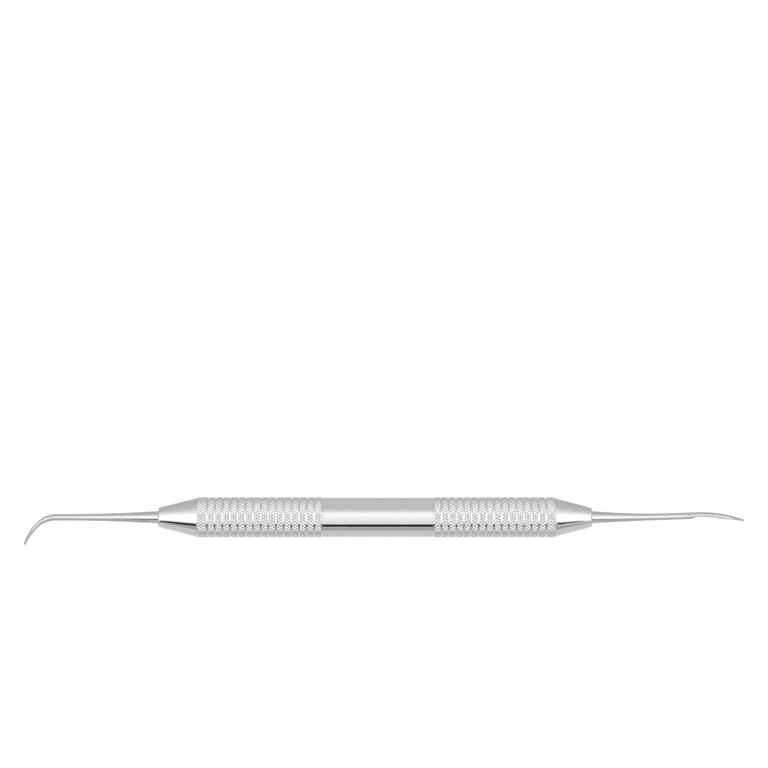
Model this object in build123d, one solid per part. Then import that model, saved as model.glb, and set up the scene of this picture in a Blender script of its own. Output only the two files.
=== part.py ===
from build123d import *
import math
import os

# Periosteal elevator. A hollow round handle carries a hooked blade at one end and an
# almost straight leaf blade at the other, each on a thin tapered shank.
#
# X is the axis of the handle, with the origin in the middle of its smooth band. +X points
# to the leaf blade and +Z is up. The instrument lies as it comes to rest: the knurled
# lands of the handle are on the surface, and it has rolled over until the hooked blade
# touches the surface too. Sizes are in millimetres and angles in degrees.

# Handle
band_length = 26.8
band_diameter = 9.5
land_rise = 0.08            # the knurled lands stand proud of the band by this
groove_width = 0.5
groove_floor_width = 0.34
groove_depth = 0.15
grooves_per_side = 15       # besides the one that borders the band
hook_side_pitch = 1.84
leaf_side_pitch = 1.80
hook_side_end_land = 2.3    # middle of the last groove to the shoulder of the cone
leaf_side_end_land = 1.7
hook_side_cone = 9.7
leaf_side_cone = 9.5
cone_end_diameter = 4.65
cone_end_rounding = 0.3
bore_diameter = 7.1
bore_taper_angle = 30.0
socket_length = 6.5         # straight hole in the small end of each cone

# Tangs, the same on both blades
tang_diameter = 2.4
tang_length = 6.0
tang_clearance = 0.02       # on the radius

# Both blades
grinding_entry = 0.12       # each ground surface starts this far outside its bar

# Hooked blade: a slightly flattened bar, bent down and ground away inside the bend
hook_base_thickness = 3.05
hook_neck_thickness = 1.58
hook_flattening = 1.15      # width of the bar for its thickness
hook_taper_length = 22.0
hook_straight_length = 24.8
hook_first_radius = 6.2
hook_first_angle = 54.0
hook_second_radius = 9.7
hook_second_angle = 28.0
hook_blade_width = 2.6
hook_widening_length = 5.5
hook_thinning = 0.26        # share of the thickness lost where the bar is forged wider
hook_lean = 1.7             # how far the tip leans to one side
hook_lean_length = 4.8
hook_tip_thickness = 0.21
hook_grind_start = 0.45     # along the bar, from where the bend starts
hook_end_length = 3.4       # length of the rounded-off end
hook_corner_radius = 0.8

# Leaf blade: a round bar that rises a little, then falls to a slender leaf with a
# scooped underside
leaf_base_thickness = 3.0
leaf_neck_thickness = 1.62
leaf_taper_length = 18.0
leaf_straight_length = 5.5
leaf_rise_radius = 450.0
leaf_rise_angle = 2.5
leaf_fall_radius = 30.0
leaf_fall_angle = 22.5
leaf_blade_width = 2.6
leaf_widening_length = 10.0
leaf_point_length = 5.2     # length of the pointed end
leaf_point_width = 0.4
leaf_point_rounding = 0.1
leaf_thickness = 1.08
leaf_tip_thickness = 0.42
leaf_grind_length = 13.2    # along the bar, from where the scoop starts to the tip
leaf_scoop_length = 3.0

# Worked out from the sizes above
band_radius = band_diameter / 2
land_radius = band_radius + land_rise
groove_radius = land_radius - groove_depth
cone_end_radius = cone_end_diameter / 2
bore_radius = bore_diameter / 2
tang_radius = tang_diameter / 2
socket_radius = tang_radius + tang_clearance
bore_taper_length = (bore_radius - socket_radius) / math.tan(math.radians(bore_taper_angle))
across = (0, 1, 0)          # direction of every blade's width


def shoulder_distance(pitch, end_land):
    """Middle of the band to the shoulder where a cone starts."""
    return band_length / 2 + grooves_per_side * pitch + end_land


hook_face = shoulder_distance(hook_side_pitch, hook_side_end_land) + hook_side_cone
leaf_face = shoulder_distance(leaf_side_pitch, leaf_side_end_land) + leaf_side_cone


def side_outline(direction, pitch, end_land, cone_length):
    """Outer outline of one side of the handle, from the band to the end of the cone."""
    points = []
    for number in range(grooves_per_side + 1):
        centre = band_length / 2 + number * pitch
        inner_radius = band_radius if number == 0 else land_radius
        points.append((centre - groove_width / 2, inner_radius))
        points.append((centre - groove_floor_width / 2, groove_radius))
        points.append((centre + groove_floor_width / 2, groove_radius))
        points.append((centre + groove_width / 2, land_radius))
    shoulder = shoulder_distance(pitch, end_land)
    points.append((shoulder, land_radius))
    points.append((shoulder + cone_length, cone_end_radius))
    return [(direction * x, radius) for x, radius in points]


def bore_outline(direction, face):
    """Inner outline of one side of the handle, from the face of the cone to the bore."""
    socket_end = face - socket_length
    points = [(face, socket_radius), (socket_end, socket_radius)]
    points.append((socket_end - bore_taper_length, bore_radius))
    return [(direction * x, radius) for x, radius in points]


def make_handle():
    """Hollow handle in one piece, with its grooves, lands and cones."""
    outline = side_outline(-1, hook_side_pitch, hook_side_end_land, hook_side_cone)[::-1]
    outline += side_outline(1, leaf_side_pitch, leaf_side_end_land, leaf_side_cone)
    outline += bore_outline(1, leaf_face)
    outline += bore_outline(-1, hook_face)[::-1]
    handle = revolve(Plane.XZ * make_face(Polyline(*outline, close=True)), axis=Axis.X)
    ends = handle.edges().group_by(Axis.X)
    rims = [ends[side].sort_by(SortBy.RADIUS)[-1] for side in (0, -1)]
    return fillet(rims, cone_end_rounding)


def bar_thickness(distance, base, neck, taper_length):
    """Thickness of a shank, which thins quickly at first and then levels off."""
    left = max(0.0, 1 - distance / taper_length)
    return neck + (base - neck) * left ** 2


def ease(value):
    """Smooth step from 0 to 1."""
    value = min(1.0, max(0.0, value))
    return value * value * (3 - 2 * value)


def spaced(first, last, steps):
    """Evenly spaced distances from first to last."""
    return [first + (last - first) * step / steps for step in range(steps + 1)]


def stations_along(blade_start, end):
    """Distances along a bar at which its section is set, on the shank and on the blade."""
    return spaced(0, blade_start, 7)[:-1] + spaced(blade_start, end, 7)


def plane_across(path, distance):
    """Plane across a bar at a distance along it, with its y axis towards the back."""
    origin = path.position_at(distance, position_mode=PositionMode.LENGTH)
    tangent = path.tangent_at(distance, position_mode=PositionMode.LENGTH)
    return Plane(origin=origin, x_dir=across, z_dir=tangent)


def ground_away(path, bar_radius, stations, reach):
    """What grinding takes off the inside of a bar, to leave a thickness at each station."""
    points = []
    for distance, thickness in stations:
        plane = plane_across(path, distance)
        points.append(plane.origin + plane.y_dir * (bar_radius - thickness))
    bottom = min(point.Z for point in points) - reach
    surface = Spline(*points)
    rest = Polyline(points[-1], (points[-1].X, 0, bottom), (points[0].X, 0, bottom), points[0])
    return extrude(make_face(surface + rest), amount=reach, both=True)


def cut_off(path, tip, end_length, outline, reach):
    """What is cut off round the end of a blade, outside an outline that passes its tip."""
    back = plane_across(path, tip - end_length / 2).y_dir
    plane = Plane(origin=plane_across(path, tip).origin, x_dir=across, z_dir=-back)
    left, right = sorted((outline @ 0, outline @ 1), key=lambda end: end.X)
    corners = [(reach, right.Y), (reach, reach), (-reach, reach), (-reach, left.Y)]
    rest = Polyline(right, *corners, left)
    return extrude(plane * make_face(outline.edges() + rest.edges()), amount=reach, both=True)


def make_tang():
    """Round peg that fills the socket, drawn back from the face of the cone."""
    return extrude(Plane.YZ * Circle(tang_radius), amount=-tang_length)


def make_hook():
    """Hooked blade with its shank and tang, along +X from the face of its cone."""
    straight = Line((0, 0), (hook_straight_length, 0))
    first = JernArc(straight @ 1, straight % 1, hook_first_radius, -hook_first_angle)
    second = JernArc(first @ 1, first % 1, hook_second_radius, -hook_second_angle)
    run_out = Line(second @ 1, (second @ 1) + (second % 1) * hook_blade_width)
    path = Plane.XZ * Wire([straight, first, second, run_out])
    tip = hook_straight_length + first.length + second.length
    bar_radius = hook_neck_thickness / 2
    past_tip = tip + bar_radius

    sections = []
    for distance in stations_along(hook_straight_length, past_tip):
        spread = ease((distance - hook_straight_length) / hook_widening_length)
        bar = bar_thickness(distance, hook_base_thickness, hook_neck_thickness, hook_taper_length)
        bar *= 1 - hook_thinning * spread
        width = bar * hook_flattening * (1 - spread) + hook_blade_width * spread
        lean = hook_lean * max(0.0, 1 - (tip - distance) / hook_lean_length) ** 2
        sections.append(plane_across(path, distance) * Pos(lean, 0) * Ellipse(width / 2, bar / 2))
    blade = loft(sections)

    grind_start = hook_straight_length + hook_grind_start
    entry = hook_neck_thickness + grinding_entry
    tip_left = bar_radius * hook_thinning + hook_tip_thickness
    stations = []
    for distance in spaced(grind_start, tip, 3):
        share = (distance - grind_start) / (tip - grind_start)
        stations.append((distance, entry + (tip_left - entry) * share))
    stations.append((past_tip, tip_left))
    blade -= ground_away(path, bar_radius, stations, hook_blade_width * 2)

    side = -hook_blade_width / 2
    slope = TangentArc((hook_lean, 0), (side, -hook_end_length), tangent=(-1, 0))
    corner = JernArc(slope @ 0, (1, 0), hook_corner_radius, -90)
    outline = Wire([slope, corner])
    blade -= cut_off(path, tip, hook_end_length, outline, hook_blade_width * 2)
    return blade + make_tang()


def make_leaf():
    """Leaf blade with its shank and tang, along +X from the face of its cone."""
    straight = Line((0, 0), (leaf_straight_length, 0))
    rise = JernArc(straight @ 1, straight % 1, leaf_rise_radius, leaf_rise_angle)
    fall = JernArc(rise @ 1, rise % 1, leaf_fall_radius, -leaf_fall_angle)
    run_out = Line(fall @ 1, (fall @ 1) + (fall % 1) * leaf_blade_width)
    path = Plane.XZ * Wire([straight, rise, fall, run_out])
    tip = leaf_straight_length + rise.length + fall.length
    bar_radius = leaf_neck_thickness / 2
    past_tip = tip + bar_radius
    widest = tip - leaf_point_length
    widening_start = widest - leaf_widening_length

    sections = []
    for distance in stations_along(widening_start, past_tip):
        bar = bar_thickness(distance, leaf_base_thickness, leaf_neck_thickness, leaf_taper_length)
        spread = ease((distance - widening_start) / leaf_widening_length)
        width = bar * (1 - spread) + leaf_blade_width * spread
        sections.append(plane_across(path, distance) * Ellipse(width / 2, bar / 2))
    blade = loft(sections)

    scoop_start = tip - leaf_grind_length
    stations = [(scoop_start, leaf_neck_thickness + grinding_entry)]
    stations.append((scoop_start + leaf_scoop_length, leaf_thickness))
    stations.append((widest, leaf_thickness))
    stations.append((tip, leaf_tip_thickness))
    stations.append((past_tip, leaf_tip_thickness))
    blade -= ground_away(path, bar_radius, stations, leaf_blade_width * 2)

    side = leaf_blade_width / 2
    shoulder = leaf_point_width / 2
    left = TangentArc((-side, -leaf_point_length), (-shoulder, -leaf_point_rounding), tangent=(0, 1))
    nose = ThreePointArc(left @ 1, (0, 0), (shoulder, -leaf_point_rounding))
    right = TangentArc((side, -leaf_point_length), (shoulder, -leaf_point_rounding), tangent=(0, 1))
    outline = Wire([left, nose, right])
    blade -= cut_off(path, tip, leaf_point_length, outline, leaf_blade_width * 2)
    return blade + make_tang()


def rest_roll(hook):
    """Roll about X at which the hooked blade touches the surface that the lands lie on."""
    rolls = []
    for edge in hook.edges():
        for share in spaced(0, 1, 20):
            point = edge.position_at(share)
            reach = math.hypot(point.Y, point.Z)
            if reach > land_radius:
                below = math.degrees(math.atan2(-point.Z, -point.Y))
                rolls.append(below - math.degrees(math.asin(land_radius / reach)))
    return max(rolls)


handle = make_handle()
hook = Pos(-hook_face, 0, 0) * Rot(0, 0, 180) * make_hook()
leaf = Pos(leaf_face, 0, 0) * make_leaf()
roll = rest_roll(hook)
lying = Rot(-roll, 0, 0)

os.makedirs("parts", exist_ok=True)
export_step(lying * handle, "parts/handle.step")
export_step(lying * hook, "parts/hooked_blade.step")
export_step(lying * leaf, "parts/leaf_blade.step")
print("rolled by", round(roll, 2), "degrees")
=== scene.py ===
# %% [markdown]
# # Periosteal elevator
#
# A double-ended surgical hand instrument: a hollow round steel handle with a smooth band in
# the middle, a knurled and grooved grip on each side of it and a plain cone at each end. A
# thin shank leaves each cone. One ends in a short hooked blade, the other in a slender leaf.
#
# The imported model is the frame: everything made here sits where its CAD nodes are. X runs
# along the handle towards the leaf blade and Z is up.

# %% Load the frame
import bmesh
import bpy
import math
from mathutils import Matrix, Vector


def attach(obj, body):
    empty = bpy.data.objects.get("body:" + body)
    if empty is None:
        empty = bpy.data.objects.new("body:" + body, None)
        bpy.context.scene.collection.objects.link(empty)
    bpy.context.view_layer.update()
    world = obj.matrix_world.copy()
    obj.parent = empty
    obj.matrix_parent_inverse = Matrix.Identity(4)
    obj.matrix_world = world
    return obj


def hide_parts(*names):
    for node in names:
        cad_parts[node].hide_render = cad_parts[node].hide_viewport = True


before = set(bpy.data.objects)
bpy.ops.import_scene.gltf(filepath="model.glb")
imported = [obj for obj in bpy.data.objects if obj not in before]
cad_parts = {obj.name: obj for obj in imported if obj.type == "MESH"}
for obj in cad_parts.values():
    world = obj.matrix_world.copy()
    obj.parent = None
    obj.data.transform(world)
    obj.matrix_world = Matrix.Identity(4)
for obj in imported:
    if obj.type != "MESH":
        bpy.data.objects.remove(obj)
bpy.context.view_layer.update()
MM = 0.001
print("nodes:", sorted(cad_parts))

# %% [markdown]
# ## Two helpers
#
# Colours are written as sRGB hex values, as a colour picker shows them, but shaders work
# with linear light, so one function converts them. Node trees, for shaders and for
# geometry alike, are built with one small function that adds a node, sets its properties
# and fills or connects its inputs.

# %% Helpers
def linear(hex_colour):
    """Turns an sRGB hex colour into the linear RGBA that shaders use."""
    parts = [int(hex_colour[i:i + 2], 16) / 255 for i in (1, 3, 5)]
    return [p / 12.92 if p <= 0.04045 else ((p + 0.055) / 1.055) ** 2.4 for p in parts] + [1.0]


def add(tree, kind, inputs=None, **settings):
    """Adds a node with its settings; inputs are values or sockets, by name or number."""
    node = tree.nodes.new(kind)
    for name, value in settings.items():
        setattr(node, name, value)
    for key, value in (inputs or {}).items():
        if isinstance(value, bpy.types.NodeSocket):
            tree.links.new(value, node.inputs[key])
        else:
            node.inputs[key].default_value = value
    return node


print("middle grey in linear light:", round(linear("#808080")[0], 3))

# %% [markdown]
# ## Sizes
#
# These are the driving sizes of the real instrument, in millimetres, the same as the CAD
# model's. The knurl is the one form that only this script knows. Its teeth run round the
# handle in two opposite helices, 42 of them, at the usual 30 degrees. At the hook's end the
# knurl stops at the cone. At the leaf's end the knurling tool went on and leaned down a
# little with the cone, so there the diamonds fade out on it.

# %% Sizes of the handle
BAND_LENGTH = 26.8
BAND_RADIUS = 4.75
CREST_RADIUS = 4.83
GROOVE_WIDTH = 0.5
GROOVE_FLOOR_WIDTH = 0.34
GROOVE_DEPTH = 0.15
GROOVES = 15
CONE_END_RADIUS = 2.325
CONE_END_ROUNDING = 0.3
SOCKET_RADIUS = 1.22
SOCKET_LENGTH = 6.5
BORE_RADIUS = 3.55
BORE_TAPER_ANGLE = 30.0
BORE_TAPER_LENGTH = (BORE_RADIUS - SOCKET_RADIUS) / math.tan(math.radians(BORE_TAPER_ANGLE))
SIDES = {
    "hook": {"direction": -1, "pitch": 1.84, "end_land": 2.3, "cone": 9.7,
             "run_out_steps": 1, "tool_slope": 0.0},
    "leaf": {"direction": 1, "pitch": 1.80, "end_land": 1.7, "cone": 9.5,
             "run_out_steps": 12, "tool_slope": 0.15},
}
for side in SIDES.values():
    side["shoulder"] = BAND_LENGTH / 2 + GROOVES * side["pitch"] + side["end_land"]
    side["face"] = side["shoulder"] + side["cone"]
print("handle from", -SIDES["hook"]["face"], "to", SIDES["leaf"]["face"], "mm")

# %% Sizes of the knurl
TEETH = 42
HELIX_ANGLE = 30.0
KNURL_DEPTH = 0.14
KNURL_GROOVE_SHARE = 0.75
STEPS_PER_TOOTH = 8
KNURL_PITCH = 2 * math.pi * CREST_RADIUS / TEETH / math.tan(math.radians(HELIX_ANGLE))
KNURL_STEP = KNURL_PITCH / STEPS_PER_TOOTH
print("knurl pitch along the handle:", round(KNURL_PITCH, 3), "mm")

# %% [markdown]
# ## The outline of a grip
#
# On a lathe the grip starts as a plain turned bar. It could be built from cylinders that
# are cut with booleans, but an outline that is turned gives clean rows of faces, as the
# lathe does. It is a list of points, each a distance along the handle and a radius. The
# knurled lands need many points along them, so that the knurl has something to move. They
# are spaced by an eighth of the knurl's pitch, because then the bottoms of its grooves fall
# on the corners of the mesh. The plain cone has rows too, because long thin faces would
# show as streaks in its reflections.

# %% Lands and cone
CONE_STEPS = 24
RIM_STEPS = 6


def spaced(first, last, steps):
    """Evenly spaced values from first to last."""
    return [first + (last - first) * step / steps for step in range(steps + 1)]


def land_points(start, end):
    """Points along a land, at its ends and at every eighth of the knurl's pitch."""
    clearance = KNURL_STEP / 4
    first = math.ceil((start + clearance) / KNURL_STEP)
    last = math.floor((end - clearance) / KNURL_STEP)
    inner = [number * KNURL_STEP for number in range(first, last + 1)]
    return [(x, CREST_RADIUS) for x in [start] + inner + [end]]


def cone_points(side):
    """Points down the cone, close together where the knurl runs out, and round its rim."""
    slope = (CREST_RADIUS - CONE_END_RADIUS) / side["cone"]
    points = [(side["shoulder"] + n * KNURL_STEP, CREST_RADIUS - slope * n * KNURL_STEP)
              for n in range(1, side["run_out_steps"] + 1)]
    lean = math.atan(slope)
    rim_x = side["face"] - CONE_END_ROUNDING
    rim_radius = CONE_END_RADIUS + CONE_END_ROUNDING * (slope - 1 / math.cos(lean))
    plain = spaced(points[-1][0], rim_x + CONE_END_ROUNDING * math.sin(lean), CONE_STEPS)
    points += [(x, CREST_RADIUS - slope * (x - side["shoulder"])) for x in plain[1:-1]]
    for angle in spaced(lean, math.pi / 2, RIM_STEPS):
        points.append((rim_x + CONE_END_ROUNDING * math.sin(angle),
                       rim_radius + CONE_END_ROUNDING * math.cos(angle)))
    return points


print("points down each cone:", [len(cone_points(side)) for side in SIDES.values()])


# %% Closed outline of a grip
def grip_outline(side):
    """Closed outline of one side of the handle, outside and in, from the bordering groove."""
    floor = CREST_RADIUS - GROOVE_DEPTH
    half_top = GROOVE_WIDTH / 2
    half_floor = GROOVE_FLOOR_WIDTH / 2
    points = [(BAND_LENGTH / 2, floor), (BAND_LENGTH / 2 + half_floor, floor)]
    for number in range(GROOVES):
        start = BAND_LENGTH / 2 + number * side["pitch"]
        points += land_points(start + half_top, start + side["pitch"] - half_top)
        points.append((start + side["pitch"] - half_floor, floor))
        points.append((start + side["pitch"] + half_floor, floor))
    points += land_points(side["shoulder"] - side["end_land"] + half_top, side["shoulder"])
    points += cone_points(side)
    socket_end = side["face"] - SOCKET_LENGTH
    points.append((side["face"], SOCKET_RADIUS))
    points.append((socket_end, SOCKET_RADIUS))
    points.append((socket_end - BORE_TAPER_LENGTH, BORE_RADIUS))
    points.append((BAND_LENGTH / 2, BORE_RADIUS))
    return points + points[:1]


print("points in the hook side's outline:", len(grip_outline(SIDES["hook"])))

# %% [markdown]
# ## Turning with geometry nodes
#
# The knurl could be a bump texture, but then the outline of the grip would stay smooth and
# a model without its materials would have no knurl. It follows a rule, so geometry nodes
# make it as real geometry. The first part of the tree sets out a grid with a row for each
# point of the outline and a column for each step round the handle. Every point of the grid
# knows its row and column from its index, and looks its place on the outline up by its row.

# %% Inputs of the grip's tree, and its grid
TREE_INPUTS = (
    ("Outline", "Geometry"), ("Teeth", "Int"), ("Steps per Tooth", "Int"), ("Pitch", "Float"),
    ("Crest Radius", "Float"), ("Depth", "Float"), ("Groove Share", "Float"), ("Shoulder", "Float"),
    ("Tool Slope", "Float"), ("Knurl End", "Float"), ("Ring Groove Depth", "Float"),
    ("Polished Steel", "Material"), ("Knurled Steel", "Material"),
)
GRIP_TREE = bpy.data.node_groups.new("turned_and_knurled_grip", "GeometryNodeTree")
for name, kind in TREE_INPUTS:
    GRIP_TREE.interface.new_socket(name, in_out="INPUT", socket_type="NodeSocket" + kind)
GRIP_TREE.interface.new_socket("Grip", in_out="OUTPUT", socket_type="NodeSocketGeometry")
given = add(GRIP_TREE, "NodeGroupInput").outputs

rows = add(GRIP_TREE, "GeometryNodeAttributeDomainSize", {0: given["Outline"]})
segments = add(GRIP_TREE, "ShaderNodeMath", {0: given["Teeth"], 1: given["Steps per Tooth"]},
               operation="MULTIPLY").outputs[0]
columns = add(GRIP_TREE, "ShaderNodeMath", {0: segments, 1: 1.0}, operation="ADD").outputs[0]
grid = add(GRIP_TREE, "GeometryNodeMeshGrid",
           {"Vertices X": rows.outputs["Point Count"], "Vertices Y": columns})
index = add(GRIP_TREE, "GeometryNodeInputIndex").outputs[0]
row_share = add(GRIP_TREE, "ShaderNodeMath", {0: index, 1: columns}, operation="DIVIDE").outputs[0]
row = add(GRIP_TREE, "ShaderNodeMath", {0: row_share}, operation="FLOOR").outputs[0]
column = add(GRIP_TREE, "ShaderNodeMath", {0: index, 1: columns}, operation="MODULO").outputs[0]

position = add(GRIP_TREE, "GeometryNodeInputPosition").outputs[0]
point = add(GRIP_TREE, "GeometryNodeSampleIndex",
            {"Geometry": given["Outline"], "Value": position, "Index": row},
            data_type="FLOAT_VECTOR").outputs[0]
outline = add(GRIP_TREE, "ShaderNodeSeparateXYZ", {0: point}).outputs
print("nodes that set out the grid:", len(GRIP_TREE.nodes))

# %% [markdown]
# ## Cutting the knurl
#
# Two sets of helical grooves cut into the turned bar. Adding the turn round the handle to
# the distance along it gives one helix, and taking it away gives the other. The nearer
# groove of the two wins, and its section is rounded, not sharp, as a worn wheel leaves it.
# At every point the tool leaves a radius of its own, and the surface is wherever the smaller
# of the two radii is, so the grooves run out on the cone by themselves, as in the workshop.

# %% The knurl's rule in the tree
HALF_TOOTH = 0.5
round_teeth = add(GRIP_TREE, "ShaderNodeMath", {0: column, 1: given["Steps per Tooth"]},
                  operation="DIVIDE").outputs[0]
along = add(GRIP_TREE, "ShaderNodeMath", {0: outline["X"], 1: given["Pitch"]},
            operation="DIVIDE").outputs[0]
nearest = []
for operation in ("ADD", "SUBTRACT"):
    helix = add(GRIP_TREE, "ShaderNodeMath", {0: round_teeth, 1: along}, operation=operation)
    nearest.append(add(GRIP_TREE, "ShaderNodeMath", {0: helix.outputs[0], 1: HALF_TOOTH},
                       operation="PINGPONG").outputs[0])
closest = add(GRIP_TREE, "ShaderNodeMath", {0: nearest[0], 1: nearest[1]},
              operation="MINIMUM").outputs[0]
half_share = add(GRIP_TREE, "ShaderNodeMath", {0: given["Groove Share"], 1: 2.0},
                 operation="DIVIDE").outputs[0]
cut = add(GRIP_TREE, "ShaderNodeMapRange",
          {"Value": closest, "From Min": 0.0, "From Max": half_share,
           "To Min": given["Depth"], "To Max": 0.0},
          interpolation_type="SMOOTHSTEP").outputs[0]

distance = add(GRIP_TREE, "ShaderNodeMath", {0: outline["X"]}, operation="ABSOLUTE").outputs[0]
past = add(GRIP_TREE, "ShaderNodeMath", {0: distance, 1: given["Shoulder"]},
           operation="SUBTRACT").outputs[0]
past = add(GRIP_TREE, "ShaderNodeMath", {0: past, 1: 0.0}, operation="MAXIMUM").outputs[0]
lower = add(GRIP_TREE, "ShaderNodeMath", {0: past, 1: given["Tool Slope"], 2: cut},
            operation="MULTIPLY_ADD").outputs[0]
tool = add(GRIP_TREE, "ShaderNodeMath", {0: given["Crest Radius"], 1: lower},
           operation="SUBTRACT").outputs[0]
knurled = add(GRIP_TREE, "ShaderNodeMath", {0: outline["Y"], 1: tool},
              operation="MINIMUM").outputs[0]
reached = add(GRIP_TREE, "ShaderNodeMath", {0: distance, 1: given["Knurl End"]},
              operation="LESS_THAN").outputs[0]
radius = add(GRIP_TREE, "ShaderNodeMix", {"Factor": reached, 2: outline["Y"], 3: knurled},
             data_type="FLOAT").outputs[0]
print("nodes with the knurl's rule:", len(GRIP_TREE.nodes))

# %% [markdown]
# ## Wrapping the grid and giving it its steels
#
# The grid is wrapped round the handle: its columns become angles, and the seam closes when
# the points that meet there are merged. The whole piece gets the polished steel, and then
# the faces that the tool reaches and that stand above the floors of the ring grooves get
# the knurled steel.

# %% The wrapped and finished grip in the tree
MERGE_DISTANCE = 0.001
turns = add(GRIP_TREE, "ShaderNodeMath", {0: column, 1: segments}, operation="DIVIDE").outputs[0]
angle = add(GRIP_TREE, "ShaderNodeMath", {0: turns, 1: 2 * math.pi},
            operation="MULTIPLY").outputs[0]
arms = []
for operation in ("COSINE", "SINE"):
    arm = add(GRIP_TREE, "ShaderNodeMath", {0: angle}, operation=operation).outputs[0]
    arms.append(add(GRIP_TREE, "ShaderNodeMath", {0: arm, 1: radius},
                    operation="MULTIPLY").outputs[0])
place = add(GRIP_TREE, "ShaderNodeCombineXYZ", {0: outline["X"], 1: arms[0], 2: arms[1]})
turned = add(GRIP_TREE, "GeometryNodeSetPosition",
             {"Geometry": grid.outputs["Mesh"], "Position": place.outputs[0]})
closed = add(GRIP_TREE, "GeometryNodeMergeByDistance",
             {"Geometry": turned.outputs[0], "Distance": MERGE_DISTANCE * MM})
real = add(GRIP_TREE, "GeometryNodeRealizeInstances", {"Geometry": closed.outputs[0]})
polished = add(GRIP_TREE, "GeometryNodeSetMaterial",
               {"Geometry": real.outputs[0], "Material": given["Polished Steel"]})

centre = add(GRIP_TREE, "ShaderNodeSeparateXYZ", {0: position}).outputs
across = add(GRIP_TREE, "ShaderNodeCombineXYZ", {"Y": centre["Y"], "Z": centre["Z"]})
face_radius = add(GRIP_TREE, "ShaderNodeVectorMath", {0: across.outputs[0]}, operation="LENGTH")
ring_floor = add(GRIP_TREE, "ShaderNodeMath",
                 {0: given["Crest Radius"], 1: given["Ring Groove Depth"]},
                 operation="SUBTRACT").outputs[0]
left_proud = add(GRIP_TREE, "ShaderNodeMath", {0: face_radius.outputs["Value"], 1: ring_floor},
                 operation="GREATER_THAN").outputs[0]
face_distance = add(GRIP_TREE, "ShaderNodeMath", {0: centre["X"]}, operation="ABSOLUTE").outputs[0]
within = add(GRIP_TREE, "ShaderNodeMath", {0: face_distance, 1: given["Knurl End"]},
             operation="LESS_THAN").outputs[0]
chosen = add(GRIP_TREE, "ShaderNodeMath", {0: left_proud, 1: within},
             operation="MULTIPLY").outputs[0]
finished = add(GRIP_TREE, "GeometryNodeSetMaterial",
               {"Geometry": polished.outputs[0], "Selection": chosen,
                "Material": given["Knurled Steel"]})
add(GRIP_TREE, "NodeGroupOutput", {0: finished.outputs[0]})
print("nodes in the grip's tree:", len(GRIP_TREE.nodes))

# %% [markdown]
# ## From points to a finished piece
#
# Each piece ends as a plain closed mesh whose object stays at the origin. Merging doubles
# closes its seams, and its normals are then worked out again so that all point outwards.
# Edges that turn by more than 25 degrees stay sharp and the rest shade smoothly, which is
# what makes polished steel look turned and not faceted.

# %% Making and finishing a piece
SHARP_ANGLE = math.radians(25)
DOUBLES_DISTANCE = 0.0005


def mesh_piece(name, vertices, faces):
    """A new object with a mesh made of points in millimetres."""
    mesh = bpy.data.meshes.new(name)
    mesh.from_pydata([Vector(v) * MM for v in vertices], [], faces)
    piece = bpy.data.objects.new(name, mesh)
    bpy.context.collection.objects.link(piece)
    return piece


def finish_piece(piece, *replaced):
    """Closes a piece's mesh, turns its normals outwards, and joins it to the frame."""
    shape = bmesh.new()
    shape.from_mesh(piece.data)
    bmesh.ops.remove_doubles(shape, verts=shape.verts, dist=DOUBLES_DISTANCE * MM)
    bmesh.ops.recalc_face_normals(shape, faces=shape.faces)
    open_edges = sum(not edge.is_manifold for edge in shape.edges)
    volume = shape.calc_volume(signed=True) / MM ** 3
    shape.to_mesh(piece.data)
    shape.free()
    piece.data.shade_smooth()
    piece.data.set_sharp_from_angle(angle=SHARP_ANGLE)
    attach(piece, "root")
    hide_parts(*replaced)
    triangles = sum(len(face.vertices) - 2 for face in piece.data.polygons)
    print(piece.name, "triangles", triangles, "open edges", open_edges, "mm3", round(volume, 1))
    print("  materials:", [material.name for material in piece.data.materials])


print("edges stay sharp above", round(math.degrees(SHARP_ANGLE)), "degrees")

# %% [markdown]
# ## Steels
#
# The whole instrument is martensitic stainless steel, a neutral grey that reflects a little
# less than chrome. Lathe, wheel and grinder leave lines that are finer than a pixel of the
# picture, so they are drawn a little coarser here, 0.12 to 0.3 mm apart. A noise makes them.
# It changes quickly across the lines and slowly along them, and acts through the roughness
# and a very low bump, so that the reflections blur slightly, as on real polished steel.

# %% Steel materials
NOISE_LOW = 0.3
NOISE_HIGH = 0.7
NOISE_DETAIL = 3.0


def steel(name, colour, roughness, spread, line_mm, stretch, bump_mm):
    """Stainless steel with fine lines; stretch is how fast they change along X, Y and Z."""
    material = bpy.data.materials.new(name)
    material.use_nodes = True
    tree = material.node_tree
    shader = tree.nodes["Principled BSDF"]
    shader.inputs["Base Color"].default_value = linear(colour)
    shader.inputs["Metallic"].default_value = 1.0
    object_place = add(tree, "ShaderNodeTexCoord").outputs["Object"]
    lines = add(tree, "ShaderNodeMapping", {"Vector": object_place})
    lines.inputs["Scale"].default_value = [s / (line_mm * MM) for s in stretch]
    noise = add(tree, "ShaderNodeTexNoise",
                {"Vector": lines.outputs[0], "Scale": 1.0, "Detail": NOISE_DETAIL})
    rough = add(tree, "ShaderNodeMapRange",
                {"Value": noise.outputs[0], "From Min": NOISE_LOW, "From Max": NOISE_HIGH,
                 "To Min": roughness - spread, "To Max": roughness + spread})
    tree.links.new(rough.outputs[0], shader.inputs["Roughness"])
    bump = add(tree, "ShaderNodeBump",
               {"Height": noise.outputs[0], "Strength": 1.0, "Distance": bump_mm * MM})
    tree.links.new(bump.outputs[0], shader.inputs["Normal"])
    return material


# Turned and polished: nearly a mirror, with faint rings round the handle
POLISHED = steel("polished_stainless_steel", "#cdcdcd", 0.065, 0.025, 0.25, (1.0, 0.06, 0.06), 0.0004)
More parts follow.
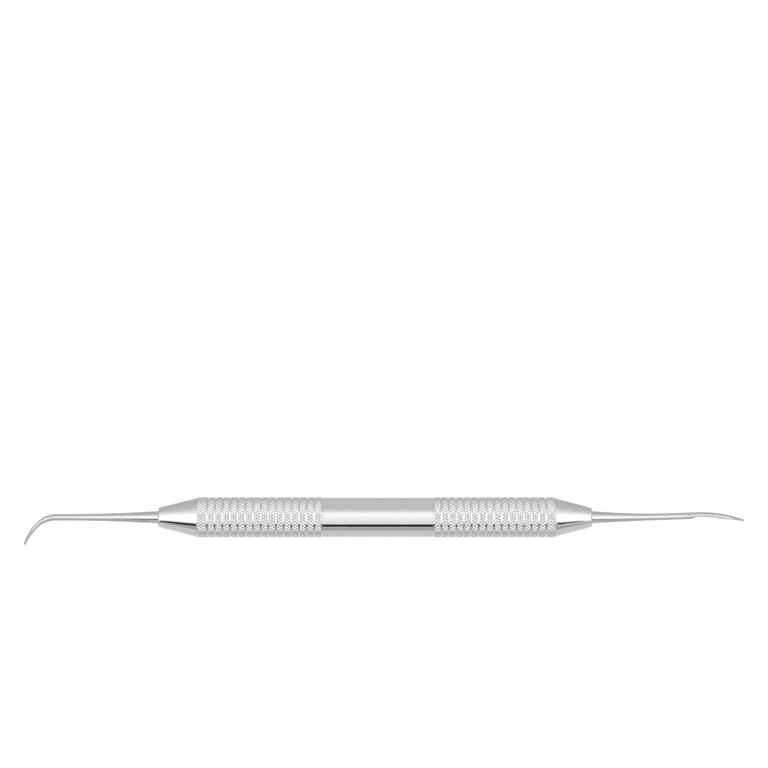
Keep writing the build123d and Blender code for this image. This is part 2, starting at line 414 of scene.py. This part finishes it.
# Rolled by the knurling wheels and brushed: each diamond shows as a soft light and dark spot
KNURLED = steel("knurled_stainless_steel", "#d3d3d3", 0.27, 0.04, 0.25, (1.0, 0.3, 0.3), 0.001)
# Polished along the shank: a clear bright stripe with dark edges
SHANK = steel("polished_shank_steel", "#c0c0c0", 0.10, 0.03, 0.3, (0.05, 1.0, 1.0), 0.0008)
# Ground on a fine wheel: satin, with lines across the blade
GROUND = steel("ground_stainless_steel", "#cbcbcb", 0.24, 0.06, 0.12, (1.0, 0.1, 1.0), 0.002)
print("steels:", [m.name for m in (POLISHED, KNURLED, SHANK, GROUND)])

# %% [markdown]
# ## The two grips
#
# Each side of the handle is one run of the tree. Its object starts as nothing but the
# outline, and the modifier makes the rest. The result is kept as a plain mesh, without the
# empty material slot that the bare grid brings with it.

# %% Grips and cones
def make_grip(name, side):
    """One side of the handle with its knurl, ring grooves and cone."""
    outline = [(side["direction"] * x, radius, 0) for x, radius in grip_outline(side)]
    # The knurl ends halfway before the last close row of the cone, which stays plain
    knurl_end = side["shoulder"] + (side["run_out_steps"] - 0.5) * KNURL_STEP
    line = mesh_piece(name + "_outline", outline, [])
    modifier = line.modifiers.new("grip", "NODES")
    modifier.node_group = GRIP_TREE
    values = {"Teeth": TEETH, "Steps per Tooth": STEPS_PER_TOOTH, "Pitch": KNURL_PITCH * MM,
              "Crest Radius": CREST_RADIUS * MM, "Depth": KNURL_DEPTH * MM,
              "Groove Share": KNURL_GROOVE_SHARE, "Shoulder": side["shoulder"] * MM,
              "Tool Slope": side["tool_slope"], "Knurl End": knurl_end * MM,
              "Ring Groove Depth": GROOVE_DEPTH * MM,
              "Polished Steel": POLISHED, "Knurled Steel": KNURLED}
    for socket in GRIP_TREE.interface.items_tree:
        if socket.name in values:
            modifier[socket.identifier] = values[socket.name]
    graph = bpy.context.evaluated_depsgraph_get()
    mesh = bpy.data.meshes.new_from_object(line.evaluated_get(graph))
    for number, material in reversed(list(enumerate(mesh.materials))):
        if material is None:
            mesh.materials.pop(index=number)
    grip = bpy.data.objects.new(name, mesh)
    bpy.context.collection.objects.link(grip)
    bpy.data.objects.remove(line)
    return grip


GRIPS = {name: make_grip(name + "_side_grip", side) for name, side in SIDES.items()}
print("grips:", [(grip.name, len(grip.data.vertices), "points") for grip in GRIPS.values()])

# %% [markdown]
# ## The smooth band
#
# The band between the grips is the plain part of the same turned bar. It could be a third
# run of the tree, but it has no knurl, so it is simply spun from its own closed outline in
# mesh code, with the two bordering grooves' walls at its ends. It has as many steps round
# as the grips, so that the three pieces meet point to point.

# %% Smooth band
SEGMENTS = TEETH * STEPS_PER_TOOTH


def make_band(name):
    """Plain turned ring between the two bordering grooves."""
    edge = BAND_LENGTH / 2
    half_top = GROOVE_WIDTH / 2
    half_floor = GROOVE_FLOOR_WIDTH / 2
    floor = CREST_RADIUS - GROOVE_DEPTH
    side = [(edge - half_top, BAND_RADIUS), (edge - half_floor, floor), (edge, floor),
            (edge, BORE_RADIUS)]
    outline = [(-x, radius) for x, radius in side[::-1]] + side
    vertices = []
    for segment in range(SEGMENTS):
        angle = 2 * math.pi * segment / SEGMENTS
        vertices += [(x, radius * math.cos(angle), radius * math.sin(angle)) for x, radius in outline]
    count = len(outline)
    faces = []
    for segment in range(SEGMENTS):
        here = segment * count
        there = (segment + 1) % SEGMENTS * count
        for number in range(count):
            after = (number + 1) % count
            faces.append((here + number, here + after, there + after, there + number))
    band = mesh_piece(name, vertices, faces)
    band.data.materials.append(POLISHED)
    return band


BAND = make_band("smooth_band")
print("faces in the band:", len(BAND.data.polygons))

# %% [markdown]
# ## The blades
#
# Each blade is a steel bar that is thickest at the cone. It is bent, forged wider near its
# end, ground away on the inside of the bend and rounded off at the tip. A curve with a bevel
# could give the bar but can't be ground, so the bar is built from sections across its path,
# with the same path and the same rules as in the CAD model, only much finer. The path is a
# list of straight and round lengths, each with its length and its curvature.

# %% Sizes of the blades
def bend(degrees, radius):
    """A round length of a bar's path, which turns by so many degrees, down if negative."""
    return math.radians(abs(degrees)) * radius, math.copysign(1 / radius, degrees)


REST_ROLL = 38.6
TANG_RADIUS = 1.2
TANG_LENGTH = 6.0
GRINDING_ENTRY = 0.12
HOOK = {
    "base": 3.05, "neck": 1.58, "flattening": 1.15, "taper": 22.0, "width": 2.6, "thinning": 0.26,
    "path": [(24.8, 0.0), bend(-54.0, 6.2), bend(-28.0, 9.7)],
    "widening_start": 24.8, "widening_length": 5.5, "lean": 1.7, "lean_length": 4.8,
    "tip_thickness": 0.21, "end_length": 3.4, "corner": 0.8, "grind_start": 0.45,
    "rounded_sides": False,
}
LEAF = {
    "base": 3.0, "neck": 1.62, "flattening": 1.0, "taper": 18.0, "width": 2.6, "thinning": 0.0,
    "path": [(5.5, 0.0), bend(2.5, 450.0), bend(-22.5, 30.0)],
    "widening_length": 10.0, "lean": 0.0, "lean_length": 1.0, "thickness": 1.08,
    "tip_thickness": 0.42, "grind_length": 13.2, "scoop_length": 3.0,
    "end_length": 5.2, "point_width": 0.4, "point_rounding": 0.1, "rounded_sides": True,
}
for blade in (HOOK, LEAF):
    blade["tip"] = sum(length for length, curvature in blade["path"])
LEAF["widening_start"] = LEAF["tip"] - LEAF["end_length"] - LEAF["widening_length"]
print("along the bars to the tips:", round(HOOK["tip"], 2), round(LEAF["tip"], 2), "mm")

# %% [markdown]
# ## The path and size of a bar
#
# Two small functions answer, at a distance along the bar, where its middle is and which way
# it heads, and how wide and thick it is. Asking a rule at every section, and not storing the
# sections, keeps the bar smooth however many sections it gets.

# %% Path and size of a bar
def ease(value):
    """Smooth step from 0 to 1."""
    value = min(1.0, max(0.0, value))
    return value * value * (3 - 2 * value)


def walk(path, distance):
    """Place and heading at a distance along a path of straight and round lengths."""
    x = z = heading = 0.0
    for number, (length, curvature) in enumerate(path):
        last = number == len(path) - 1
        run = distance if last else min(distance, length)
        if curvature and distance <= length:
            turned = heading + curvature * run
        elif curvature:
            turned = heading + curvature * length
            run = length
        else:
            turned = heading
        if curvature:
            x += (math.sin(turned) - math.sin(heading)) / curvature
            z += (math.cos(heading) - math.cos(turned)) / curvature
        else:
            x += run * math.cos(heading)
            z += run * math.sin(heading)
        heading = turned
        distance -= run
        if distance <= 0:
            break
    x += max(0.0, distance) * math.cos(heading)
    z += max(0.0, distance) * math.sin(heading)
    return x, z, heading


def bar_size(bar, distance):
    """Half the width, half the thickness and the lean of the bar's ellipse."""
    left = max(0.0, 1 - distance / bar["taper"])
    spread = ease((distance - bar["widening_start"]) / bar["widening_length"])
    thickness = (bar["neck"] + (bar["base"] - bar["neck"]) * left ** 2) * (1 - bar["thinning"] * spread)
    width = thickness * bar["flattening"] * (1 - spread) + bar["width"] * spread
    lean = bar["lean"] * max(0.0, 1 - (bar["tip"] - distance) / bar["lean_length"]) ** 2
    return width / 2, thickness / 2, lean


for name, bar in (("hook", HOOK), ("leaf", LEAF)):
    x, z, heading = walk(bar["path"], bar["tip"])
    print(name, "tip at", round(x, 2), round(z, 2), "heading", round(math.degrees(heading), 1))

# %% [markdown]
# ## The grinding and the outline of an end
#
# The hook is ground flat, deeper and deeper towards its tip. The leaf's underside is scooped
# out by a wheel and then runs straight to its point. A level says how far down the bar is
# ground at a distance along it, and two limits say how far the end reaches to each side.
# Where an end isn't narrowed yet, its limits lie outside the bar and cut nothing.

# %% Grinding levels and end outlines
def hook_level(distance):
    """Level that the hook is ground down to, measured from the middle of the bar."""
    start = HOOK["widening_start"] + HOOK["grind_start"]
    share = (distance - start) / (HOOK["tip"] - start)
    entry = HOOK["neck"] + GRINDING_ENTRY
    tip_left = HOOK["neck"] / 2 * HOOK["thinning"] + HOOK["tip_thickness"]
    return HOOK["neck"] / 2 - entry - (tip_left - entry) * share


def leaf_level(distance):
    """Level of the leaf's scooped underside, measured from the middle of the bar."""
    start = LEAF["tip"] - LEAF["grind_length"]
    widest = LEAF["tip"] - LEAF["end_length"]
    entry = LEAF["neck"] + GRINDING_ENTRY
    if distance < widest:
        share = min(1.0, (distance - start) / LEAF["scoop_length"])
        dip = math.sin(math.pi / 2 * share) if share > 0 else share * math.pi / 2
        left = entry - (entry - LEAF["thickness"]) * dip
    else:
        share = (distance - widest) / LEAF["end_length"]
        left = LEAF["thickness"] - (LEAF["thickness"] - LEAF["tip_thickness"]) * share
    return LEAF["neck"] / 2 - left


def hook_limits(back):
    """How far the hook's rounded end reaches to each side, back from its tip."""
    width, lean, length, corner = HOOK["width"], HOOK["lean"], HOOK["end_length"], HOOK["corner"]
    rise = lean + width / 2
    radius = (rise ** 2 + length ** 2) / (2 * length)
    left = lean - math.sqrt(max(0.0, radius ** 2 - (radius - back) ** 2)) if back < length else -width
    right = lean + math.sqrt(max(0.0, corner ** 2 - (corner - back) ** 2)) if back < corner else 2 * width
    return left, right


def leaf_limits(back):
    """How far the leaf's point reaches to each side, back from its tip."""
    half, length = LEAF["width"] / 2, LEAF["end_length"]
    nose, rounding = LEAF["point_width"] / 2, LEAF["point_rounding"]
    if back < rounding:
        radius = (nose ** 2 + rounding ** 2) / (2 * rounding)
        reach = math.sqrt(max(0.0, radius ** 2 - (radius - back) ** 2))
    elif back < length:
        rise, run = half - nose, length - rounding
        radius = (rise ** 2 + run ** 2) / (2 * rise)
        reach = half - radius + math.sqrt(radius ** 2 - (length - back) ** 2)
    else:
        reach = 2 * half
    return -reach, reach


print("ground levels at the tips:", round(hook_level(HOOK["tip"]), 2), round(leaf_level(LEAF["tip"]), 2))

# %% [markdown]
# ## Sections of a blade
#
# A section is an ellipse whose inner side is cut off at the level of the grinding, and whose
# sides are cut off by the outline of the end. Booleans could make these cuts on a finished
# bar, but cutting each section is exact and leaves clean rows of faces. The last points of a
# section always lie on the ground face, so that the edge stays crisp.

# %% Sections
ARC_STEPS = 40
FLAT_STEPS = 16
# The lowest level that cuts, as a share of half the thickness: lower down it only grazes the bar
LOWEST_CUT = -0.96


def section(half_width, half_thickness, centre, level, left, right):
    """Points round one section: over the back from right to left, then along the inside."""
    split = max(level, LOWEST_CUT * half_thickness)
    chord = half_width * math.sqrt(1 - (split / half_thickness) ** 2)
    start = math.asin(split / half_thickness)
    end = math.pi - start
    if right < centre + chord:
        start = math.acos(max(-1.0, (right - centre) / half_width))
    if left > centre - chord:
        end = math.acos(min(1.0, (left - centre) / half_width))
    points = [(centre + half_width * math.cos(a), half_thickness * math.sin(a))
              for a in spaced(start, end, ARC_STEPS)]
    for x in spaced(max(left, centre - chord), min(right, centre + chord), FLAT_STEPS):
        below = half_thickness * math.sqrt(max(0.0, 1 - ((x - centre) / half_width) ** 2))
        points.append((x, max(level, -below)))
    return points


TANG_CIRCLE = section(TANG_RADIUS, TANG_RADIUS, 0.0, -TANG_RADIUS, -TANG_LENGTH, TANG_LENGTH)
print("points in a section:", len(TANG_CIRCLE))

# %% [markdown]
# ## Skin over the sections
#
# The sections are joined into one skin, with the round tang behind the base. They are close
# together on the blade and closest round its blunt tip. The leaf's sides are rounded over,
# as its grey edge shows, so its ellipse narrows with the outline of its point. The hook's
# are cut off square. The ground face and the cut sides get the ground steel.

# %% Skin over the sections
SHANK_SECTIONS = 40
BLADE_SECTIONS = 90
END_SECTIONS = 14
NARROWEST = 0.02


def section_distances(bar, blunt):
    """Distances of the sections along a bar, close together round its blunt tip."""
    tip = bar["tip"]
    distances = spaced(0.0, bar["widening_start"], SHANK_SECTIONS)
    distances += spaced(bar["widening_start"], tip - blunt, BLADE_SECTIONS)[1:]
    return distances + [tip - blunt * (1 - math.sin(a)) for a in spaced(0.0, math.pi / 2, END_SECTIONS)][1:]


def make_blade(name, bar, level_at, limits_at, place):
    """Skin over the sections along a bar, closed at the tip and at the end of its tang."""
    tip = bar["tip"]
    end_x, end_z = walk(bar["path"], tip)[:2]
    end_heading = walk(bar["path"], tip - bar["end_length"] / 2)[2]
    rings = [[(start, x, y) for x, y in TANG_CIRCLE] for start in (-TANG_LENGTH, 0.0)]
    grounds = [False, False]
    for distance in section_distances(bar, bar.get("corner", bar.get("point_rounding"))):
        half_width, half_thickness, lean = bar_size(bar, distance)
        level = level_at(distance)
        grounds.append(level > LOWEST_CUT * half_thickness)
        along, up, heading = walk(bar["path"], min(distance, tip))
        heading = min(heading, end_heading, key=abs)
        back = (end_x - along) * math.cos(end_heading) + (end_z - up) * math.sin(end_heading)
        left, right = limits_at(back)
        if bar["rounded_sides"]:
            half_width = min(half_width, max(right, NARROWEST))
        ring = []
        for x, y in section(half_width, half_thickness, lean, level, left, right):
            ring.append((along - y * math.sin(heading), x, up + y * math.cos(heading)))
        rings.append(ring)
    count = len(rings[0])
    vertices = [place @ Vector(point) for ring in rings for point in ring]
    faces = [tuple(range(count)), tuple(range(len(vertices) - count, len(vertices)))]
    finishes = [0, 0]
    for number in range(len(rings) - 1):
        for step in range(count):
            after = (step + 1) % count
            here, there = number * count, (number + 1) * count
            faces.append((here + step, here + after, there + after, there + step))
            finishes.append(1 if grounds[number] and step >= ARC_STEPS else 0)
    blade = mesh_piece(name, vertices, faces)
    blade.data.materials.append(SHANK)
    blade.data.materials.append(GROUND)
    blade.data.polygons.foreach_set("material_index", finishes)
    return blade


print("sections in the hook:", len(section_distances(HOOK, HOOK["corner"])))

# %% [markdown]
# ## The two blades in their places
#
# A blade is made along X from its base at the cone's face. The hook's is turned round to
# point the other way, and then both are rolled by the angle at which the whole instrument
# comes to rest on its handle and on the hook's tip.

# %% Blades in their places
lying = Matrix.Rotation(math.radians(-REST_ROLL), 4, "X")
hook_place = lying @ Matrix.Translation((-SIDES["hook"]["face"], 0, 0)) @ Matrix.Rotation(math.pi, 4, "Z")
leaf_place = lying @ Matrix.Translation((SIDES["leaf"]["face"], 0, 0))
HOOK_BLADE = make_blade("hooked_elevator_blade", HOOK, hook_level, hook_limits, hook_place)
LEAF_BLADE = make_blade("leaf_elevator_blade", LEAF, leaf_level, leaf_limits, leaf_place)
print("faces in the blades:", [len(blade.data.polygons) for blade in (HOOK_BLADE, LEAF_BLADE)])

# %% [markdown]
# ## Joining the pieces to the frame
#
# The band and the grips together stand for the CAD handle, and each blade stands for its
# own node. A piece that replaces a node keeps its place. The blades' boxes are worked out at the end, but
# nothing uses them.

# %% Finish and join the pieces
finish_piece(GRIPS["hook"], "handle")
finish_piece(GRIPS["leaf"], "handle")
finish_piece(BAND, "handle")
finish_piece(HOOK_BLADE, "hooked_blade")
finish_piece(LEAF_BLADE, "leaf_blade")
for piece, node in ((HOOK_BLADE, "hooked_blade"), (LEAF_BLADE, "leaf_blade")):
    lines_up = [[v.co[i] for v in piece.data.vertices] for i in range(3)]
    corners = [[round(pick(values) / MM, 2) for values in lines_up] for pick in (min, max)]

# %% [markdown]
# ## Floor
#
# The instrument lies on plain white paper. Diffuse paper alone would come out grey next to
# a white background, so most of it glows, and the rest stays matt and takes the soft shadow.
# The camera sees a slightly brighter glow than the steel does, which brings the paper up to
# the white of the background and leaves the light on the object plain.

# %% White paper
FLOOR_REACH = 2500
FLOOR_GLOW_SHARE = 0.85
FLOOR_GLOW = 0.92
SEEN_GLOW = 1.07
floor_height = -CREST_RADIUS


def sheet(name, outline, height, material):
    """A flat sheet for the studio, with its outline in millimetres."""
    corners = [(x, y, height) for x, y in outline]
    plane = mesh_piece(name, corners, [tuple(range(len(corners)))])
    plane.data.materials.append(material)
    return plane


def floor_paper():
    """Matt white paper, shown as white as the background but still taking the shadow."""
    material = bpy.data.materials.new("white_paper")
    material.use_nodes = True
    tree = material.node_tree
    tree.nodes.clear()
    path = add(tree, "ShaderNodeLightPath").outputs
    seen = add(tree, "ShaderNodeMath", {0: path["Is Camera Ray"], 1: path["Is Glossy Ray"]},
               operation="MAXIMUM").outputs[0]
    seen = add(tree, "ShaderNodeMath", {0: seen, 1: path["Is Transmission Ray"]},
               operation="MAXIMUM").outputs[0]
    share = add(tree, "ShaderNodeMath", {0: seen, 1: FLOOR_GLOW_SHARE},
                operation="MULTIPLY").outputs[0]
    paper = add(tree, "ShaderNodeBsdfDiffuse", {"Color": linear("#ececec")})
    strength = add(tree, "ShaderNodeMath",
                   {0: path["Is Camera Ray"], 1: SEEN_GLOW - FLOOR_GLOW, 2: FLOOR_GLOW},
                   operation="MULTIPLY_ADD").outputs[0]
    glow = add(tree, "ShaderNodeEmission", {"Color": linear("#ffffff"), "Strength": strength})
    mixed = add(tree, "ShaderNodeMixShader", {0: share, 1: paper.outputs[0], 2: glow.outputs[0]})
    add(tree, "ShaderNodeOutputMaterial", {"Surface": mixed.outputs[0]})
    return material


FLOOR = [(-FLOOR_REACH, -FLOOR_REACH), (FLOOR_REACH, -FLOOR_REACH),
         (FLOOR_REACH, FLOOR_REACH), (-FLOOR_REACH, FLOOR_REACH)]
floor = sheet("floor", FLOOR, floor_height, floor_paper())
print("floor at", floor_height, "mm")

# %% [markdown]
# ## Cards
#
# Polished steel shows what is round it, so the studio is the finish. Photographers lay cards
# in front of an instrument to draw its lines. Here a lit white card lies in front, and a narrow
# black one partly on it gives the thin dark line low on the handle. A grey card between that and
# the handle is painted shade: it stands in for a soft penumbra on the floor and gives the greyer
# stripe under the line. Two pale cards under the ends are painted shade too: they stand in for
# the shade under the shanks, which tones their lower edges. A cone looks outwards, and what it
# mirrors drifts outwards with its distance on the floor, so the black card's ends are slanted.
# The cards are seen in the steel only: camera, shadow and diffuse light pass them by.

# %% Cards on the floor
CARD_REACH = 400
FRONT_CARD_LIFT = 0.03
CARD_LIFT = 0.05
FRONT_CARD_GLOW = 1.3
WHITE_CARD = [(-CARD_REACH, -CARD_REACH), (CARD_REACH, -CARD_REACH), (CARD_REACH, -13), (72, -13),
              (66, -28), (-64, -26), (-70, -13), (-CARD_REACH, -13)]
BLACK_CARD = [(-71, -30), (-80, -45), (-69, -38), (-15, -38), (46, -40), (92, -70), (66, -27),
              (46, -15.5), (15, -14.6), (-15, -14.6), (-50, -14.8), (-53.5, -13.1), (-61, -13.1)]
# Painted shade: a grey strip that stands in for a soft penumbra on the floor, seen in the steel only
PENUMBRA_SHADE_CARD = [(-CARD_REACH, -12.8), (CARD_REACH, -12.8), (CARD_REACH, -7.8), (-CARD_REACH, -7.8)]
# Painted shade: pale cards under the shanks stand in for the shade beneath them, seen in the steel on the
# shanks' lower edges
HOOK_SHANK_SHADE_CARD = [(-120, -7.8), (-56, -7.8), (-56, 10), (-120, 10)]
LEAF_SHANK_SHADE_CARD = [(55, -7.8), (120, -7.8), (120, 10), (55, 10)]


def card_material(name, colour):
    """Matt card without any gloss."""
    material = bpy.data.materials.new(name)
    material.use_nodes = True
    shader = material.node_tree.nodes["Principled BSDF"]
    shader.inputs["Base Color"].default_value = linear(colour)
    shader.inputs["Specular IOR Level"].default_value = 0.0
    return material


lit_card = bpy.data.materials.new("lit_white_card")
lit_card.use_nodes = True
lit_card.node_tree.nodes.clear()
card_light = add(lit_card.node_tree, "ShaderNodeEmission",
                 {"Color": linear("#ffffff"), "Strength": FRONT_CARD_GLOW})
add(lit_card.node_tree, "ShaderNodeOutputMaterial", {"Surface": card_light.outputs[0]})
# Pale colour of the painted shade under the shanks
shank_shade_card = card_material("shank_shade_card", "#e2e2e2")
card_height = floor_height + CARD_LIFT
CARDS = [sheet("front_card", WHITE_CARD, floor_height + FRONT_CARD_LIFT, lit_card),
         sheet("dark_card", BLACK_CARD, card_height, card_material("black_card", "#303030")),
         sheet("penumbra_shade_card", PENUMBRA_SHADE_CARD, card_height, card_material("penumbra_shade_card", "#c9c9c9")),
         sheet("hook_end_shade_card", HOOK_SHANK_SHADE_CARD, card_height, shank_shade_card),
         sheet("leaf_end_shade_card", LEAF_SHANK_SHADE_CARD, card_height, shank_shade_card)]
for card in CARDS:
    card.visible_camera = False
    card.visible_diffuse = False
    card.visible_shadow = False
    card.visible_transmission = False
print("cards:", [card.name for card in CARDS])

# %% [markdown]
# ## Studio light
#
# A long softbox in front of the handle, parallel to it, gives the broad bright stripe, and
# the dimmer ceiling and back give the grey above it. Area lamps would do, but the world is
# simpler to shape: its brightness only depends on the angle round the handle's axis, and two
# ramps hold it. One is what the steel sees square to the handle, the other what it sees
# aslant, as on the cones and the facets of the knurl. Far to the sides the softbox ends and
# one plain level takes over. The camera itself sees plain white.

# %% Brightness round the handle's axis
# An angle in degrees, from the front horizon over to the back, and the levels that the steel
# sees there, square to the handle and aslant
STUDIO = [(0, 1.14, 1.7), (8, 1.24, 1.8), (16, 1.36, 1.9), (30, 1.36, 1.95), (35, 1.5, 1.9),
          (54, 1.58, 1.56), (59, 1.34, 1.42), (66, 1.08, 1.25), (80, 0.86, 1.04), (92, 0.8, 0.88),
          (106, 0.8, 0.79), (128, 0.88, 0.75), (150, 0.77, 0.68), (180, 0.74, 0.66)]
BRIGHTEST = 1.95
END_LEVEL = 0.8
ASLANT = (0.09, 0.18)
SOFTBOX_END = (0.58, 0.66)
world = bpy.data.worlds.new("white_studio")
bpy.context.scene.world = world
world.use_nodes = True
sky = world.node_tree
sky.nodes.clear()
way = add(sky, "ShaderNodeSeparateXYZ", {0: add(sky, "ShaderNodeTexCoord").outputs["Generated"]}).outputs
front = add(sky, "ShaderNodeMath", {0: way["Y"], 1: -1.0}, operation="MULTIPLY").outputs[0]
round_axis = add(sky, "ShaderNodeMath", {0: way["Z"], 1: front}, operation="ARCTAN2").outputs[0]
half_turn = add(sky, "ShaderNodeMath", {0: round_axis, 1: math.pi}, operation="DIVIDE").outputs[0]
levels = []
for number in (1, 2):
    ramp = add(sky, "ShaderNodeValToRGB", {0: half_turn})
    while len(ramp.color_ramp.elements) < len(STUDIO):
        ramp.color_ramp.elements.new(0.5)
    for stop, values in zip(ramp.color_ramp.elements, STUDIO):
        stop.position = values[0] / 180
        stop.color = [values[number] / BRIGHTEST] * 3 + [1.0]
    levels.append(add(sky, "ShaderNodeMath", {0: ramp.outputs[0], 1: BRIGHTEST},
                      operation="MULTIPLY").outputs[0])
print("studio stops:", len(STUDIO))

# %% Mix of the levels, and what the camera sees
sideways = add(sky, "ShaderNodeMath", {0: way["X"]}, operation="ABSOLUTE").outputs[0]
brightness = levels[0]
for (low, high), level in ((ASLANT, levels[1]), (SOFTBOX_END, END_LEVEL)):
    share = add(sky, "ShaderNodeMapRange",
                {"Value": sideways, "From Min": low, "From Max": high, "To Min": 0.0, "To Max": 1.0},
                interpolation_type="SMOOTHSTEP").outputs[0]
    brightness = add(sky, "ShaderNodeMix", {"Factor": share, 2: brightness, 3: level},
                     data_type="FLOAT").outputs[0]
studio = add(sky, "ShaderNodeBackground", {"Color": linear("#ffffff"), "Strength": brightness})
plain = add(sky, "ShaderNodeBackground", {"Color": linear("#ffffff"), "Strength": 1.0})
seen = add(sky, "ShaderNodeLightPath").outputs["Is Camera Ray"]
shown = add(sky, "ShaderNodeMixShader", {0: seen, 1: studio.outputs[0], 2: plain.outputs[0]})
add(sky, "ShaderNodeOutputWorld", {"Surface": shown.outputs[0]})
print("nodes in the world:", len(sky.nodes))

# %% [markdown]
# ## Camera
#
# A long lens about half a metre away, raised so that it looks within about 7 degrees of
# square at the plane that the hook bends in. The handle lies level in the picture, below
# its middle. The camera turns to reach it and needs no shift of the lens.

# %% Camera
PICTURE = 768
PIXEL = 0.2417
CAMERA_DEPTH = 510.0
CAMERA_ELEVATION = 31.8
HANDLE_PIXEL = (378.0, 517.27)
SENSOR_WIDTH = 36.0
focal_pixels = CAMERA_DEPTH / PIXEL
below = math.atan((HANDLE_PIXEL[1] - PICTURE / 2) / focal_pixels)
target = Vector(((PICTURE / 2 - HANDLE_PIXEL[0]) * PIXEL, 0, 0)) * MM
elevation = math.radians(CAMERA_ELEVATION)
reach = CAMERA_DEPTH / math.cos(below) * MM
lens = bpy.data.cameras.new("camera")
lens.sensor_width = SENSOR_WIDTH
lens.lens = focal_pixels * SENSOR_WIDTH / PICTURE
camera = bpy.data.objects.new("camera", lens)
bpy.context.collection.objects.link(camera)
camera.location = target + reach * Vector((0, -math.cos(elevation), math.sin(elevation)))
camera.rotation_euler = (math.pi / 2 - elevation + below, 0, 0)
bpy.context.scene.camera = camera
bpy.context.scene.view_settings.view_transform = "Standard"
print("lens", round(lens.lens, 1), "mm, looking down", round(math.degrees(elevation - below), 1), "degrees")
